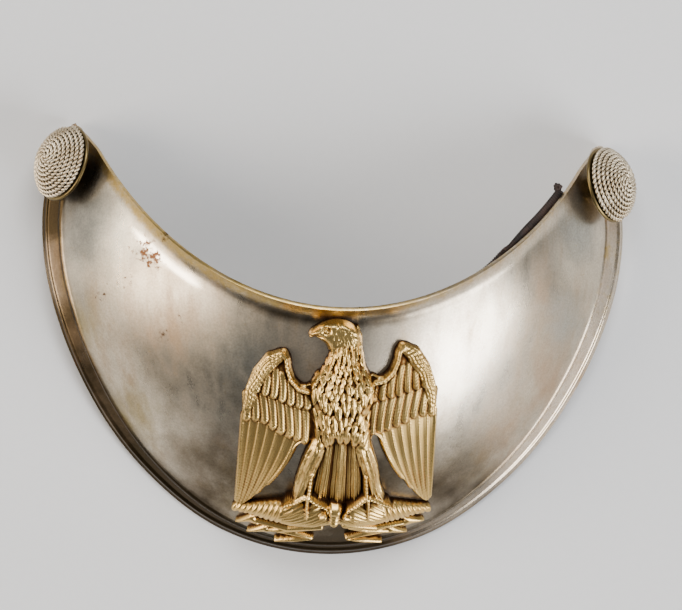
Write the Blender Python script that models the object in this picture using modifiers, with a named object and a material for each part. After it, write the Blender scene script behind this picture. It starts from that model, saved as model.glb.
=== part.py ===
"""An officer's gorget: a domed crescent plate with an eagle badge and two cord-covered buttons.

Metres, +Z up. The plate lies face up. +Y points to the neck and the horns, +X to the viewer's right.
Everything is worked out in the plate's plan, whose centre is the middle of its outer outline,
and the finished pieces are then moved together so that they stand on Z = 0 round the origin.
"""

import math

import bmesh
import bpy
from mathutils import Matrix, Vector

# The outer outline: its radius at the bottom, and its shape from the bottom up to the horn's tip
EDGE_RADIUS = 0.0752
EDGE_SHAPE = [
    # angle from the bottom in degrees, share of the radius
    (0.0, 1.000),
    (20.0, 0.990),
    (40.0, 0.958),
    (60.0, 0.945),
    (75.0, 0.959),
    (90.0, 0.993),
    (100.0, 1.016),
    (115.5, 1.030),
]
EDGE_SWEEP = 115.5

# The dome: a sphere at the bottom and in the horns, drawn in between them where the outline is drawn in
DOME_RADIUS = 0.0870
DOME_DRAW = 0.070
DOME_DRAW_SPAN = 110.0
SHEET = 0.0010

# The neck edge: an ellipse in plan, and how far round it each horn runs
NECK_HALF_WIDTH = 0.0800
NECK_HALF_HEIGHT = 0.1040
NECK_FLOOR = -0.0118
NECK_ACROSS = 0.0006
NECK_SWEEP = 55.5

# Where the horns touch the surface, and how far their rounded tips hang below their outer edge there
HORN_ANGLE = 112.0
HORN_DROP = 0.0022

# The turned-up rim along the neck edge
LIP_RISE = 0.0030
LIP_REACH = 0.0036
LIP_CURL = 2.2
LIP_AT_TIP = 0.35

# The flared border band, seen from above narrower at the bottom than at the sides
BAND_REACH_BOTTOM = 0.0029
BAND_REACH_SIDE = 0.0049
BAND_DROP = 0.0043
RIDGE_HEIGHT = 0.00045
RIDGE_WIDTH = 0.0011
OUTER_RIDGE_INSET = 0.0013

# The rounded tip of each horn starts at this share of the sweep
TIP_START = 0.91
TIP_CLOSE = 0.985

# Buttons: where they stand on the horns and their own sizes
BUTTON_ANGLE = 108.4
BUTTON_REACH = 0.0712
RIM_RADIUS = 0.0100
RIM_HEIGHT = 0.0010
CORE_RADIUS = 0.0090
CORE_HEIGHT = 0.0048
COLLAR_RADIUS = 0.0032
COLLAR_HEIGHT = 0.0028
SHANK_RADIUS = 0.0017
NUT_RADIUS = 0.0050
NUT_THICKNESS = 0.0016
NUT_FLOOR = 0.0006
CORD_WIDTH = 0.0008
CORD_PITCH = 0.00115
CORD_CHORD = 4.1
CORD_TURN_STEP = 0.66

# The badge in plan: its middle line, the top of its head, its height, half its width and its relief
BADGE_ACROSS = 0.0020
BADGE_TOP = -0.0130
BADGE_HEIGHT = 0.0575
BADGE_HALF_WIDTH = 0.0245
BADGE_RELIEF = 0.0050
BADGE_BASE = 0.0009
BADGE_SINK = 0.0012
BADGE_VOXEL = 0.00045
BADGE_TRIANGLES = 2500

# In the badge's tables, across is a share of its half width and down a share of its height.
# The right wing stands this share of the height above the left one, the right end of the bolt this one
WING_STAGGER = 0.049
BOLT_STAGGER = 0.022

WING_OUTLINE = [
    # across, down
    (0.384, 0.254),
    (0.449, 0.191),
    (0.527, 0.150),
    (0.596, 0.115),
    (0.694, 0.132),
    (0.780, 0.176),
    (0.902, 0.249),
    (0.976, 0.353),
    (0.984, 0.496),
    (0.992, 0.645),
    (1.010, 0.807),
    (0.967, 0.828),
    (0.878, 0.800),
    (0.710, 0.738),
    (0.567, 0.668),
    (0.469, 0.588),
    (0.400, 0.525),
    (0.163, 0.500),
    (0.163, 0.296),
]

WING_FEATHERS = [
    # how many, first root, last root, first tip, last tip, width, height
    (5, (0.39, 0.25), (0.77, 0.18), (0.33, 0.36), (0.85, 0.28), 0.130, 0.42),
    (6, (0.37, 0.34), (0.91, 0.27), (0.36, 0.51), (0.94, 0.42), 0.130, 0.35),
    (6, (0.40, 0.46), (0.94, 0.39), (0.46, 0.58), (0.975, 0.825), 0.115, 0.27),
]

WING_LIMBS = [
    # start, end, width, height
    ((0.26, 0.27), (0.56, 0.165), 0.14, 0.52),
    ((0.50, 0.20), (0.625, 0.112), 0.16, 0.52),
    ((0.60, 0.13), (0.91, 0.26), 0.13, 0.44),
    ((0.88, 0.22), (0.985, 0.40), 0.10, 0.38),
]

BODY_LIMBS = [
    # start, end, width, height
    ((0.16, 0.058), (-0.24, 0.052), 0.27, 0.74),
    ((-0.12, 0.048), (-0.36, 0.076), 0.12, 0.50),
    ((0.01, 0.030), (0.07, 0.260), 0.34, 0.72),
    ((0.01, 0.205), (0.01, 0.490), 0.60, 0.96),
    ((0.02, 0.400), (0.02, 0.575), 0.45, 0.70),
    ((0.05, 0.520), (0.06, 0.795), 0.36, 0.38),
    ((0.00, 0.520), (-0.16, 0.780), 0.17, 0.32),
    ((0.10, 0.520), (0.28, 0.775), 0.17, 0.32),
    ((0.01, 0.757), (0.01, 0.890), 0.19, 0.90),
]

SIDE_LIMBS = [
    # start, end, width, height
    ((-0.05, 0.235), (0.46, 0.330), 0.30, 0.66),
    ((0.13, 0.450), (0.31, 0.660), 0.27, 0.86),
    ((0.25, 0.590), (0.42, 0.765), 0.18, 0.60),
    ((0.20, 0.755), (0.50, 0.775), 0.13, 0.84),
]

BOLT_LIMBS = [
    # start, end, width, height
    ((-0.04, 0.822), (0.80, 0.822), 0.27, 0.74),
    ((0.30, 0.824), (1.03, 0.836), 0.14, 0.50),
    ((0.08, 0.876), (0.80, 0.914), 0.10, 0.34),
    ((0.66, 0.908), (0.98, 0.924), 0.15, 0.34),
    ((0.26, 0.880), (0.47, 0.975), 0.13, 0.34),
    ((0.15, 0.998), (0.62, 0.966), 0.12, 0.34),
    ((0.46, 0.968), (0.87, 0.978), 0.14, 0.34),
]

# Badge pins: places as the badge's tables give them, and sizes
PIN_PLACES = [
    # name, across, down
    ("badge_pin_top", 0.0, 0.36),
    ("badge_pin_left", -0.50, 0.835),
    ("badge_pin_right", 0.50, 0.815),
]
PIN_RADIUS = 0.0008
PIN_HEAD_RADIUS = 0.0022
PIN_HEAD_THICKNESS = 0.0008

# The leather edge behind the right part of the neck rim
STRIP_START = 0.46
STRIP_END = 0.84
STRIP_PAST_RIM = 0.0016
STRIP_UNDER_RIM = 0.0042
STRIP_THICKNESS = 0.0012
STRIP_STATIONS = 16
STRIP_CLEAR = 0.00045
STRIP_FLARE = 0.25
STRIP_CURL_RADIUS = 0.0011
STRIP_CURL_OUT = 0.0017

# Clearance between pieces that touch on the real object
GAP = 0.0003

STATIONS = 27
DOME_ROWS = 6
ROUND_STEPS = 20


def collection_named(name):
    """A new collection in the scene."""
    found = bpy.data.collections.new(name)
    bpy.context.scene.collection.children.link(found)
    return found


def clear_scene():
    for old in list(bpy.data.objects):
        bpy.data.objects.remove(old, do_unlink=True)


def principled(name, colour, roughness, metallic):
    """A material with one Principled BSDF."""
    material = bpy.data.materials.new(name)
    material.use_nodes = True
    shader = material.node_tree.nodes["Principled BSDF"]
    shader.inputs["Base Color"].default_value = (*colour, 1.0)
    shader.inputs["Roughness"].default_value = roughness
    shader.inputs["Metallic"].default_value = metallic
    return material


def smooth_step(share):
    share = min(max(share, 0.0), 1.0)
    return share * share * (3 - 2 * share)


def edge_radius(angle):
    """Radius of the outer outline at an angle in degrees from the bottom, smooth through the table."""
    angle = min(abs(angle), EDGE_SHAPE[-1][0])
    rows = [(-EDGE_SHAPE[1][0], EDGE_SHAPE[1][1])] + EDGE_SHAPE
    last_step = EDGE_SHAPE[-1][0] - EDGE_SHAPE[-2][0]
    last_rise = EDGE_SHAPE[-1][1] - EDGE_SHAPE[-2][1]
    rows = rows + [(EDGE_SHAPE[-1][0] + last_step, EDGE_SHAPE[-1][1] + last_rise)]
    row = 1
    while row < len(rows) - 3 and angle > rows[row + 1][0]:
        row += 1
    (a0, s0), (a1, s1), (a2, s2), (a3, s3) = rows[row - 1 : row + 3]
    width = a2 - a1
    rise1 = (s2 - s0) / (a2 - a0) * width
    rise2 = (s3 - s1) / (a3 - a1) * width
    t = (angle - a1) / width
    share = (
        (2 * t**3 - 3 * t**2 + 1) * s1
        + (t**3 - 2 * t**2 + t) * rise1
        + (3 * t**2 - 2 * t**3) * s2
        + (t**3 - t**2) * rise2
    )
    return EDGE_RADIUS * share


def edge_point(angle):
    """Plan point of the outer outline."""
    radius = edge_radius(angle)
    turn = math.radians(angle)
    return Vector((radius * math.sin(turn), -radius * math.cos(turn)))


def neck_point(angle):
    """Plan point of the neck edge."""
    turn = math.radians(angle)
    across = NECK_HALF_WIDTH * math.sin(turn)
    return Vector((NECK_ACROSS + across, NECK_FLOOR + NECK_HALF_HEIGHT * (1 - math.cos(turn))))


def pressed_height(x, y):
    """Height of the pressed dome above the plane through its sphere's centre.

    It is drawn in with the outline, so that the outer edge falls to about one level all round.
    """
    angle = abs(math.degrees(math.atan2(x, -y)))
    wave = math.sin(math.pi * min(angle / DOME_DRAW_SPAN, 1.0))
    drawn = math.hypot(x, y) / (1 - DOME_DRAW * wave**2)
    return math.sqrt(DOME_RADIUS**2 - drawn**2)


def band_reach(angle):
    """Width of the border band in plan."""
    side = smooth_step(abs(angle) / 90.0)
    return BAND_REACH_BOTTOM + (BAND_REACH_SIDE - BAND_REACH_BOTTOM) * side


def edge_level(angle):
    """Height of the outer edge below which the plate has nothing."""
    radius = edge_radius(angle)
    inside = (radius - band_reach(angle)) / radius
    point = edge_point(angle) * inside
    return pressed_height(point.x, point.y) - BAND_DROP


HORN_RISE = edge_level(HORN_ANGLE) - HORN_DROP - edge_level(0.0)
REST_LEAN = HORN_RISE / (edge_point(HORN_ANGLE).y + EDGE_RADIUS)


def dome_height(x, y):
    """Height of the plate's face in plan, leant so that the bottom edge and both horns touch the surface."""
    return pressed_height(x, y) - edge_level(0.0) - REST_LEAN * (y + EDGE_RADIUS)


def dome_point(x, y):
    return Vector((x, y, dome_height(x, y)))


def dome_normal(x, y):
    """Outward normal of the dome."""
    step = 1e-4
    along = dome_point(x + step, y) - dome_point(x - step, y)
    up = dome_point(x, y + step) - dome_point(x, y - step)
    return along.cross(up).normalized()


def lip_height(distance, tip_share):
    """Rise of the neck rim above the dome at a plan distance from the neck edge."""
    rise = LIP_RISE * (1 - (1 - LIP_AT_TIP) * smooth_step(tip_share))
    inside = min(max(distance / LIP_REACH, 0.0), 1.0)
    return rise * (1 - inside) ** LIP_CURL


def cross_cosine(curve, angle, along):
    """Cosine between a line across the plate and the outline's own normal."""
    tangent = (curve(angle + 0.5) - curve(angle - 0.5)).normalized()
    return max(abs(along.x * tangent.y - along.y * tangent.x), 0.5)


def plate_section(share):
    """Points across the plate from the neck edge to the outer edge, at a share of the sweep from -1 to 1."""
    neck_angle = NECK_SWEEP * share
    outer_angle = EDGE_SWEEP * share
    neck = neck_point(neck_angle)
    edge = edge_point(outer_angle)
    across = (edge - neck).normalized()
    width = (edge - neck).length

    into_tip = max(abs(share) - TIP_START, 0.0) / (1 - TIP_START) * TIP_CLOSE
    narrow = math.sqrt(1 - into_tip**2)
    middle = (neck + edge) / 2
    start = middle - across * (width / 2 * narrow)
    length = width * narrow

    lip = LIP_REACH * narrow / cross_cosine(neck_point, neck_angle, across)
    band = band_reach(outer_angle) * narrow / cross_cosine(edge_point, outer_angle, across)
    ridge = RIDGE_WIDTH / 2 * narrow
    inset = OUTER_RIDGE_INSET * narrow

    rows = []
    for inside in (0.0, 0.12, 0.35, 0.65):
        plan = start + across * (lip * inside)
        rise = lip_height(LIP_REACH * inside, abs(share)) * narrow
        rows.append(dome_point(plan.x, plan.y) + Vector((0, 0, rise)))
    inner = length - band - ridge
    for step in range(DOME_ROWS + 1):
        distance = lip + (inner - lip) * step / DOME_ROWS
        plan = start + across * distance
        rows.append(dome_point(plan.x, plan.y))

    junction_plan = start + across * (length - band)
    junction = dome_point(junction_plan.x, junction_plan.y)
    rows.append(junction + dome_normal(junction.x, junction.y) * RIDGE_HEIGHT)
    for distance, raised in (
        (ridge, 0.0),
        (band - inset - ridge, 0.0),
        (band - inset, RIDGE_HEIGHT),
        (band - inset + ridge, 0.0),
        (band, 0.0),
    ):
        plan = start + across * (length - band + distance)
        level = junction.z - BAND_DROP * distance / band * narrow
        outward = Vector((across.x * BAND_DROP, across.y * BAND_DROP, band)).normalized()
        rows.append(Vector((plan.x, plan.y, level)) + outward * raised)
    return rows


def plate_face():
    """The plate's front as an open grid."""
    form = bmesh.new()
    columns = []
    for step in range(-STATIONS, STATIONS + 1):
        share = math.sin(math.pi / 2 * step / STATIONS)
        columns.append([form.verts.new(point) for point in plate_section(share)])
    for left, right in zip(columns, columns[1:]):
        for row in range(len(left) - 1):
            form.faces.new((left[row], left[row + 1], right[row + 1], right[row]))
    form.normal_update()
    return form


def object_from(form, name, material, home):
    mesh = bpy.data.meshes.new(name)
    form.to_mesh(mesh)
    form.free()
    made = bpy.data.objects.new(name, mesh)
    if material:
        made.data.materials.append(material)
    home.objects.link(made)
    return made


def hide_helper(helper):
    helper.hide_render = True
    helper.display_type = "WIRE"
    return helper


def cut_away(target, cutter, name):
    """Cuts one object from another."""
    cut = target.modifiers.new(name, "BOOLEAN")
    cut.operation = "DIFFERENCE"
    cut.object = cutter
    return cut


def standing_on_dome(x, y):
    """A matrix with its origin on the plate's face and its Z along the face's normal."""
    point = dome_point(x, y)
    turned = dome_normal(x, y).to_track_quat("Z", "Y").to_matrix().to_4x4()
    return Matrix.Translation(point) @ turned


def turned_piece(name, profile, place, material, home, steps=ROUND_STEPS):
    """A solid of revolution about its own Z, from a profile of radius and height, top to bottom."""
    mesh = bpy.data.meshes.new(name)
    points = [(radius, 0.0, height) for radius, height in profile]
    mesh.from_pydata(points, [(i, i + 1) for i in range(len(points) - 1)], [])
    made = bpy.data.objects.new(name, mesh)
    made.data.materials.append(material)
    home.objects.link(made)
    made.matrix_world = place
    turn = made.modifiers.new("Turn", "SCREW")
    turn.steps = steps
    turn.render_steps = steps
    turn.use_merge_vertices = True
    turn.merge_threshold = 0.00001
    turn.use_smooth_shade = True
    return made


def hole_cutter(name, radius, depth, place, home):
    form = bmesh.new()
    bmesh.ops.create_cone(
        form, cap_ends=True, segments=16, radius1=radius, radius2=radius, depth=2 * depth
    )
    cutter = object_from(form, name, None, home)
    cutter.matrix_world = place
    return hide_helper(cutter)


def make_plate(silver, home):
    plate = object_from(plate_face(), "gorget_plate", silver, home)
    plate.data.shade_smooth()
    shell = plate.modifiers.new("Sheet", "SOLIDIFY")
    shell.thickness = SHEET
    shell.offset = -1.0
    return plate


def button_place(side):
    turn = math.radians(BUTTON_ANGLE)
    return standing_on_dome(
        side * BUTTON_REACH * math.sin(turn), -BUTTON_REACH * math.cos(turn)
    )


CAP_SPHERE = (CORE_RADIUS**2 + CORE_HEIGHT**2) / (2 * CORE_HEIGHT)
CORE_BASE = COLLAR_HEIGHT + RIM_HEIGHT
SHANK_END = SHEET + 2 * GAP + NUT_THICKNESS - NUT_FLOOR - GAP


def button_profile():
    """Core, rim, collar and shank of a button, above and below the plate's face at height 0."""
    cap_angle = math.asin(CORE_RADIUS / CAP_SPHERE)
    centre = CORE_BASE + CORE_HEIGHT - CAP_SPHERE
    profile = []
    for step in range(6):
        turn = cap_angle * step / 5
        profile.append((CAP_SPHERE * math.sin(turn), centre + CAP_SPHERE * math.cos(turn)))
    soft = RIM_HEIGHT / 3
    return profile + [
        (RIM_RADIUS - soft, CORE_BASE),
        (RIM_RADIUS, CORE_BASE - soft),
        (RIM_RADIUS, COLLAR_HEIGHT + soft),
        (RIM_RADIUS - soft, COLLAR_HEIGHT),
        (COLLAR_RADIUS, COLLAR_HEIGHT),
        (COLLAR_RADIUS, RIDGE_HEIGHT + GAP),
        (SHANK_RADIUS, RIDGE_HEIGHT + GAP),
        (SHANK_RADIUS, -SHANK_END),
        (0.0, -SHANK_END),
    ]


def nut_profile():
    """A flat cap with a blind hole that takes the shank's end."""
    front = -(SHEET + 2 * GAP)
    back = front - NUT_THICKNESS
    bore = SHANK_RADIUS + GAP
    return [
        (0.0, back + NUT_FLOOR),
        (bore, back + NUT_FLOOR),
        (bore, front),
        (NUT_RADIUS, front),
        (NUT_RADIUS, back),
        (0.0, back),
    ]


def cord_points():
    """The spiral of the cord over the core, from its middle to its rim."""
    radius = CAP_SPHERE + GAP + CORD_WIDTH / 2
    centre = CORE_BASE + CORE_HEIGHT - CAP_SPHERE
    lowest = math.acos((CORE_BASE + CORD_WIDTH / 2 + GAP - centre) / radius)
    rise = CORD_PITCH / radius / (2 * math.pi)
    turn = CORD_PITCH * 0.6 / radius / rise
    points = []
    while turn * rise < lowest:
        lean = turn * rise
        across = radius * math.sin(lean)
        points.append(
            (across * math.cos(turn), across * math.sin(turn), centre + radius * math.cos(lean))
        )
        turn += min(CORD_CHORD * CORD_WIDTH / across, CORD_TURN_STEP)
    return points


def make_cord(name, place, material, home):
    curve = bpy.data.curves.new(name, "CURVE")
    curve.dimensions = "3D"
    points = cord_points()
    line = curve.splines.new("POLY")
    line.points.add(len(points) - 1)
    for slot, point in zip(line.points, points):
        slot.co = (*point, 1.0)
    curve.bevel_depth = CORD_WIDTH / 2
    curve.bevel_resolution = 1
    curve.use_fill_caps = True
    cord = bpy.data.objects.new(name, curve)
    cord.data.materials.append(material)
    home.objects.link(cord)
    cord.matrix_world = place
    return cord


def make_buttons(plate, brass, cord_silver, home, cutters):
    for side, word in ((-1, "left"), (1, "right")):
        place = button_place(side)
        turned_piece(f"{word}_button", button_profile(), place, brass, home)
        make_cord(f"{word}_button_cord", place, cord_silver, home)
        turned_piece(f"{word}_button_nut", nut_profile(), place, brass, home)
        hole = hole_cutter(
            f"{word}_button_hole", SHANK_RADIUS + GAP, 2 * SHEET, place, cutters
        )
        cut_away(plate, hole, f"{word} button hole")


def badge_spot(across, down):
    """Plan point of a place on the badge."""
    return Vector((BADGE_ACROSS + BADGE_HALF_WIDTH * across, BADGE_TOP - BADGE_HEIGHT * down, 0))


def add_limb(form, start, end, width, height):
    """A rounded body between two places on the badge, flat below, like a feather or a limb."""
    along = end - start
    turn = Matrix.Rotation(math.atan2(along.y, along.x), 4, "Z")
    size = Matrix.Diagonal((along.length / 2, width / 2, height, 1))
    made = bmesh.ops.create_uvsphere(
        form,
        u_segments=14,
        v_segments=8,
        radius=1.0,
        matrix=Matrix.Translation((start + end) / 2) @ turn @ size,
    )
    for vertex in made["verts"]:
        if vertex.co.z < -height * 0.01:
            vertex.co.z = -BADGE_SINK


def add_limbs(form, rows, side, lift):
    """Limbs of one side of the badge from a table, raised by a share of its height."""
    for start, end, width, height in rows:
        ends = [badge_spot(side * across, down - lift) for across, down in (start, end)]
        add_limb(form, *ends, width * BADGE_HALF_WIDTH, height * BADGE_RELIEF)


def add_wing(form, side, lift):
    """One wing: a flat panel, three rows of feathers and the rolled leading edge."""
    corners = [badge_spot(side * across, down - lift) for across, down in WING_OUTLINE]
    bottom = form.faces.new([form.verts.new(spot + Vector((0, 0, -BADGE_SINK))) for spot in corners])
    grown = bmesh.ops.extrude_face_region(form, geom=[bottom], use_keep_orig=True)
    for item in grown["geom"]:
        if isinstance(item, bmesh.types.BMVert):
            item.co.z = BADGE_BASE
    for count, root_in, root_out, tip_in, tip_out, width, height in WING_FEATHERS:
        for step in range(count):
            share = step / (count - 1)
            start, end = [
                badge_spot(
                    side * (inner[0] + (outer[0] - inner[0]) * share),
                    inner[1] + (outer[1] - inner[1]) * share - lift,
                )
                for inner, outer in ((root_in, root_out), (tip_in, tip_out))
            ]
            add_limb(form, start, end, width * BADGE_HALF_WIDTH, height * BADGE_RELIEF)
    add_limbs(form, WING_LIMBS, side, lift)


def evaluated_mesh(made):
    graph = bpy.context.evaluated_depsgraph_get()
    return bpy.data.meshes.new_from_object(made.evaluated_get(graph))


def plate_cutter(home):
    """The space under the badge: the plate's face raised by the clearance, and all below it."""
    form = plate_face()
    for vertex in form.verts:
        vertex.co += vertex.normal * GAP
    grown = bmesh.ops.extrude_face_region(form, geom=form.faces[:], use_keep_orig=True)
    for item in grown["geom"]:
        if isinstance(item, bmesh.types.BMVert):
            item.co.z -= DOME_RADIUS
    bmesh.ops.recalc_face_normals(form, faces=form.faces[:])
    if form.calc_volume(signed=True) < 0:
        bmesh.ops.reverse_faces(form, faces=form.faces[:])
    return hide_helper(object_from(form, "badge_seat", None, home))


def make_badge(gilt, home, cutters):
    """The badge: its forms are melted into one flat relief, bent on to the dome and cut to its seat."""
    form = bmesh.new()
    add_limbs(form, BODY_LIMBS, 1, 0.0)
    for side in (-1, 1):
        add_wing(form, side, side * WING_STAGGER / 2)
        add_limbs(form, SIDE_LIMBS, side, 0.0)
        add_limbs(form, BOLT_LIMBS, side, side * BOLT_STAGGER / 2)
    bmesh.ops.recalc_face_normals(form, faces=form.faces[:])
    flat = hide_helper(object_from(form, "eagle_form", None, cutters))
    melt = flat.modifiers.new("Melt", "REMESH")
    melt.mode = "VOXEL"
    melt.voxel_size = BADGE_VOXEL
    thin = flat.modifiers.new("Thin", "DECIMATE")
    bpy.context.view_layer.update()
    triangles = sum(len(face.vertices) - 2 for face in evaluated_mesh(flat).polygons)
    thin.ratio = min(BADGE_TRIANGLES / triangles, 1.0)
    bpy.context.view_layer.update()

    mesh = evaluated_mesh(flat)
    mesh.name = "eagle_badge"
    for vertex in mesh.vertices:
        x, y, rise = vertex.co
        vertex.co = dome_point(x, y) + dome_normal(x, y) * (rise + GAP)
    mesh.materials.clear()
    mesh.materials.append(gilt)
    mesh.shade_smooth()
    badge = bpy.data.objects.new("eagle_badge", mesh)
    home.objects.link(badge)
    cut_away(badge, plate_cutter(cutters), "Seat")
    return badge


def pin_profile():
    """A pin that ends flush with the plate's face under the badge, with a flat head behind the plate."""
    front = -(SHEET + GAP)
    return [
        (0.0, 0.0),
        (PIN_RADIUS, 0.0),
        (PIN_RADIUS, front),
        (PIN_HEAD_RADIUS, front),
        (PIN_HEAD_RADIUS, front - PIN_HEAD_THICKNESS),
        (0.0, front - PIN_HEAD_THICKNESS),
    ]


def make_pins(plate, brass, home, cutters):
    for name, across, down in PIN_PLACES:
        spot = badge_spot(across, down)
        place = standing_on_dome(spot.x, spot.y)
        turned_piece(name, pin_profile(), place, brass, home, steps=12)
        hole = hole_cutter(f"{name}_hole", PIN_RADIUS + GAP, 2 * SHEET, place, cutters)
        cut_away(plate, hole, f"{name} hole")


def into_plate(share):
    """Plan direction square to the neck edge."""
    angle = NECK_SWEEP * share
    along = (neck_point(angle + 0.5) - neck_point(angle - 0.5)).normalized()
    return Vector((along.y, -along.x))


def rim_point(share, distance):
    """A point of the plate's face at a distance from the neck edge."""
    plan = neck_point(NECK_SWEEP * share) + into_plate(share) * distance
    return dome_point(plan.x, plan.y) + Vector((0, 0, lip_height(distance, share)))


def strip_point(share, distance):
    """A point of the strip's own face: behind the sheet, or past the neck edge where that is negative."""
    inside = max(distance, 0.0)
    across = rim_point(share, inside + 2e-4) - rim_point(share, inside)
    along = rim_point(share + 1e-3, inside) - rim_point(share - 1e-3, inside)
    outward = across.cross(along).normalized()
    free = into_plate(share) * min(distance, 0.0)
    behind = rim_point(share, inside) - outward * (SHEET + STRIP_CLEAR)
    return behind + Vector((free.x, free.y, free.length * STRIP_FLARE))


def make_strip(leather, home, cutters):
    """The leather edge: a thin strip under the neck rim, its free edge past the rim, its end curled up."""
    form = bmesh.new()
    columns = []
    for step in range(STRIP_STATIONS + 1):
        share = STRIP_START + (STRIP_END - STRIP_START) * step / STRIP_STATIONS
        shown = STRIP_PAST_RIM * (0.3 + 0.7 * smooth_step(3 * step / STRIP_STATIONS))
        distances = (-shown, -shown / 2, 0.0, LIP_REACH / 3, LIP_REACH * 0.75, STRIP_UNDER_RIM)
        columns.append([form.verts.new(strip_point(share, distance)) for distance in distances])
    for left, right in zip(columns, columns[1:]):
        for row in range(len(left) - 1):
            form.faces.new((left[row], left[row + 1], right[row + 1], right[row]))
    form.normal_update()
    strip = object_from(form, "lining_strip", leather, home)
    strip.data.shade_smooth()
    body = strip.modifiers.new("Leather", "SOLIDIFY")
    body.thickness = STRIP_THICKNESS
    body.offset = -1.0

    curl_form = bmesh.new()
    bmesh.ops.create_uvsphere(curl_form, u_segments=12, v_segments=8, radius=STRIP_CURL_RADIUS)
    curl = hide_helper(object_from(curl_form, "strip_curl", None, cutters))
    curl.matrix_world = Matrix.Translation(strip_point(STRIP_END, -STRIP_CURL_OUT))
    join = strip.modifiers.new("Curl", "BOOLEAN")
    join.operation = "UNION"
    join.object = curl
    return strip


def seat_on_surface(pieces):
    """Moves all pieces together so that they stand on Z = 0, centred on the origin."""
    bpy.context.view_layer.update()
    graph = bpy.context.evaluated_depsgraph_get()
    low = Vector((math.inf,) * 3)
    high = Vector((-math.inf,) * 3)
    for piece in pieces.objects:
        solid = piece.evaluated_get(graph)
        mesh = solid.to_mesh()
        for vertex in mesh.vertices:
            point = solid.matrix_world @ vertex.co
            low = Vector(map(min, low, point))
            high = Vector(map(max, high, point))
        solid.to_mesh_clear()
    return Vector((-(low.x + high.x) / 2, -(low.y + high.y) / 2, -low.z))


def main():
    clear_scene()
    pieces = collection_named("gorget")
    cutters = collection_named("gorget_cutters")

    silver = principled("silver plate, tarnished", (0.46, 0.42, 0.37), 0.36, 1.0)
    gilt = principled("gilt brass", (0.72, 0.52, 0.22), 0.32, 1.0)
    brass = principled("brass", (0.55, 0.43, 0.24), 0.38, 1.0)
    cord_silver = principled("silver wire cord", (0.62, 0.58, 0.49), 0.35, 1.0)
    leather = principled("dark leather", (0.045, 0.028, 0.020), 0.75, 0.0)

    plate = make_plate(silver, pieces)
    make_buttons(plate, brass, cord_silver, pieces, cutters)
    make_badge(gilt, pieces, cutters)
    make_pins(plate, brass, pieces, cutters)
    make_strip(leather, pieces, cutters)

    seat = Matrix.Translation(seat_on_surface(pieces))
    for piece in list(pieces.objects) + list(cutters.objects):
        piece.matrix_world = seat @ piece.matrix_world


main()
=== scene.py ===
import math

import bpy
import numpy as np
from mathutils import Matrix, Vector


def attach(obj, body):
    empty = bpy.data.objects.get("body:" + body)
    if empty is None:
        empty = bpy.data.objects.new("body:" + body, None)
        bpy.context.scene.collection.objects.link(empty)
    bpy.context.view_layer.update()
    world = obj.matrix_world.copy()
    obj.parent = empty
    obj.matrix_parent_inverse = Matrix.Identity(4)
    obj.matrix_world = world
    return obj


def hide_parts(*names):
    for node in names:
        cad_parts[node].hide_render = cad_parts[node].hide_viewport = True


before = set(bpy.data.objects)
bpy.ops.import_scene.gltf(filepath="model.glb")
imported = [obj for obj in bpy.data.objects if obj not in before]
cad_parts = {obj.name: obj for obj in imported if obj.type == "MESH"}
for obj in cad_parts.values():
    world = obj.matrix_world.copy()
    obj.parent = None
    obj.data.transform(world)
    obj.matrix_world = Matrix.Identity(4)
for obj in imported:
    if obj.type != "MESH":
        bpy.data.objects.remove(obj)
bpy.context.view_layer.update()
print("frame loaded")

# Shapes below are worked out in millimetres in the plate's plan, then moved to the frame's origin.
plate = {
    "edgeRadius": 75.2,  # outer outline at the bottom
    "edgeAngles": [0.0, 20.0, 40.0, 60.0, 75.0, 90.0, 100.0, 115.5],
    "edgeShares": [1.0, 0.990, 0.958, 0.945, 0.959, 0.993, 1.016, 1.030],
    "edgeSweep": 115.5,
    "domeRadius": 87.0,
    "domeDraw": 0.070,
    "domeDrawSpan": 110.0,
    "sheet": 1.0,
    "neckHalfWidth": 80.0,
    "neckHalfHeight": 104.0,
    "neckFloor": -11.8,
    "neckAcross": 0.6,
    "neckSweep": 55.5,
    "hornAngle": 112.0,
    "hornDrop": 2.2,
    "lipRise": 3.0,
    "lipReach": 3.6,
    "lipCurl": 2.2,
    "lipAtTip": 0.35,
    "bandBottom": 2.9,
    "bandSide": 4.9,
    "bandDrop": 4.3,
    "ridgeHeight": 0.36,
    "ridgeHalf": 0.7,
    "outerRidgeInset": 1.3,
    "tipStart": 0.91,
    "tipClose": 0.985,
    "seat": (-0.006, 20.616, 1.172),
    "stations": 340,
    "lipRows": 10,
    "domeRows": 30,
    "bandRows": 30,
}


def smoothStep(x):
    x = np.clip(x, 0.0, 1.0)
    return x * x * (3 - 2 * x)


def bell(distance, reach, power=2):
    return np.exp(-((distance / reach) ** power))


def ripples(turns):
    return np.cos(2 * np.pi * turns)


def edgeRadius(angle):
    # smooth curve through the outline's table
    knots, values = plate["edgeAngles"], plate["edgeShares"]
    angles = np.array([-knots[1]] + knots + [2 * knots[-1] - knots[-2]])
    shares = np.array([values[1]] + values + [2 * values[-1] - values[-2]])
    angle = np.minimum(np.abs(np.asarray(angle, float)), knots[-1])
    i = np.clip(np.searchsorted(angles, angle, side="left") - 1, 1, len(angles) - 3)
    width = angles[i + 1] - angles[i]
    rise1 = (shares[i + 1] - shares[i - 1]) / (angles[i + 1] - angles[i - 1]) * width
    rise2 = (shares[i + 2] - shares[i]) / (angles[i + 2] - angles[i]) * width
    t = (angle - angles[i]) / width
    share = (2 * t**3 - 3 * t**2 + 1) * shares[i] + (t**3 - 2 * t**2 + t) * rise1
    share = share + (3 * t**2 - 2 * t**3) * shares[i + 1] + (t**3 - t**2) * rise2
    return plate["edgeRadius"] * share


def edgePoint(angle):
    radius = edgeRadius(angle)
    turn = np.radians(angle)
    return np.stack([radius * np.sin(turn), -radius * np.cos(turn)], -1)


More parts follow.
